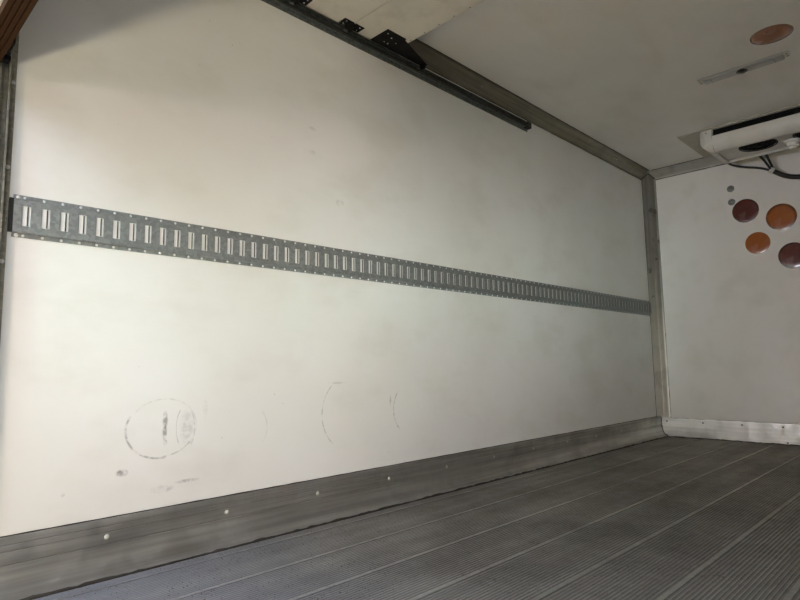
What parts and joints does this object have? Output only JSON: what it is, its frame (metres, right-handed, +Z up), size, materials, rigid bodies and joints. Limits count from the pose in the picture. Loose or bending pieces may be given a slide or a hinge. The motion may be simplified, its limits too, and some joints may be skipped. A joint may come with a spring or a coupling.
{
  "type": "refrigerated truck box body",
  "caption": "Insulated cargo box for a refrigerated truck, with roll-up door, slotted cargo rails, ribbed floor, ceiling evaporator and nose condenser.",
  "frame": {"origin": "middle of the overall length and width, at the underside of the long sills", "axes": "+X to the curb side (right), +Y to the front, +Z up"},
  "size_m": [2.446, 5.4984, 2.6507],
  "materials": {
    "amber_lens": "amber lens",
    "black_rubber": "matte",
    "black_steel": "black",
    "brown_rubber": "weathered",
    "coil_fins": "thin fins",
    "floor_aluminium": "worn ribbed extrusion, dirty",
    "frame_steel": "grey paint",
    "galvanised": "dull galvanised",
    "lamp_dark": "dark lens",
    "lamp_metal": "satin",
    "outer_white": "white paint",
    "panel_white": "white fibreglass skin, slightly soiled",
    "red_lens": "red lens",
    "tie_pale": "pale plastic",
    "trim_aluminium": "mill finish",
    "under_steel": "black paint",
    "unit_black": "black",
    "unit_plastic": "off-white moulding"
  },
  "bodies": {
    "box_body": {"bottom_rails": "trim_aluminium", "ceiling_coves": "trim_aluminium", "ceiling_lamp": "lamp_metal", "ceiling_lamp_lens": "lamp_dark", "condenser_coil": "coil_fins", "condenser_fan_guards": "unit_black", "condenser_fan_motors": "unit_black", "condenser_housing": "outer_white", "corner_coves": "trim_aluminium", "counterbalance_shaft": "galvanised", "counterbalance_springs": "black_steel", "crossmembers": "under_steel", "dock_bumpers": "black_rubber", "door_bottom_seal": "brown_rubber", "door_corner_brackets": "black_steel", "door_hinges": "black_steel", "door_latch": "galvanised", "door_panels": "outer_white", "door_rollers": "galvanised", "door_track_bends": "galvanised", "door_track_levels": "galvanised", "door_track_uprights": "galvanised", "doorway_seals": "black_rubber", "drain_hose": "black_rubber", "e_track_end_pads": "black_rubber", "e_tracks": "galvanised", "evaporator_fan_guards": "unit_black", "evaporator_fan_motors": "unit_black", "evaporator_housing": "unit_plastic", "evaporator_louvre": "unit_black", "evaporator_plate": "unit_plastic", "floor_deck": "floor_aluminium", "floor_slab": "outer_white", "front_corner_posts": "trim_aluminium", "front_kick_plate": "trim_aluminium", "front_wall": "panel_white", "hose_bundle": "black_rubber", "hose_glands": "black_rubber", "hose_tie": "tie_pale", "liquid_hose": "black_rubber", "long_sills": "under_steel", "marker_lamps": "amber_lens", "rear_header": "frame_steel", "rear_posts": "frame_steel", "rear_sill": "frame_steel", "roof_corner_caps": "trim_aluminium", "roof_panel": "panel_white", "scuff_liners": "floor_aluminium", "side_walls": "panel_white", "suction_hose": "black_rubber", "tail_lamps": "red_lens", "top_rails": "trim_aluminium"},
    "evaporator_fan_left_rotor": {"evaporator_fan_left": "unit_black"},
    "evaporator_fan_right_rotor": {"evaporator_fan_right": "unit_black"},
    "condenser_fan_left_rotor": {"condenser_fan_left": "unit_black"},
    "condenser_fan_right_rotor": {"condenser_fan_right": "unit_black"}
  },
  "joints": [
    {"name": "evaporator_fan_left_spin", "type": "hinge", "parent": "box_body", "child": "evaporator_fan_left_rotor", "pos_m": [-0.165, 1.75125, 2.44175], "axis": [0, 0, 1], "continuous": true},
    {"name": "evaporator_fan_right_spin", "type": "hinge", "parent": "box_body", "child": "evaporator_fan_right_rotor", "pos_m": [0.165, 1.75125, 2.44175], "axis": [0, 0, 1], "continuous": true},
    {"name": "condenser_fan_left_spin", "type": "hinge", "parent": "box_body", "child": "condenser_fan_left_rotor", "pos_m": [-0.32, 2.70425, 2.20475], "axis": [0, 1, 0], "continuous": true},
    {"name": "condenser_fan_right_spin", "type": "hinge", "parent": "box_body", "child": "condenser_fan_right_rotor", "pos_m": [0.32, 2.70425, 2.20475], "axis": [0, 1, 0], "continuous": true}
  ]
}
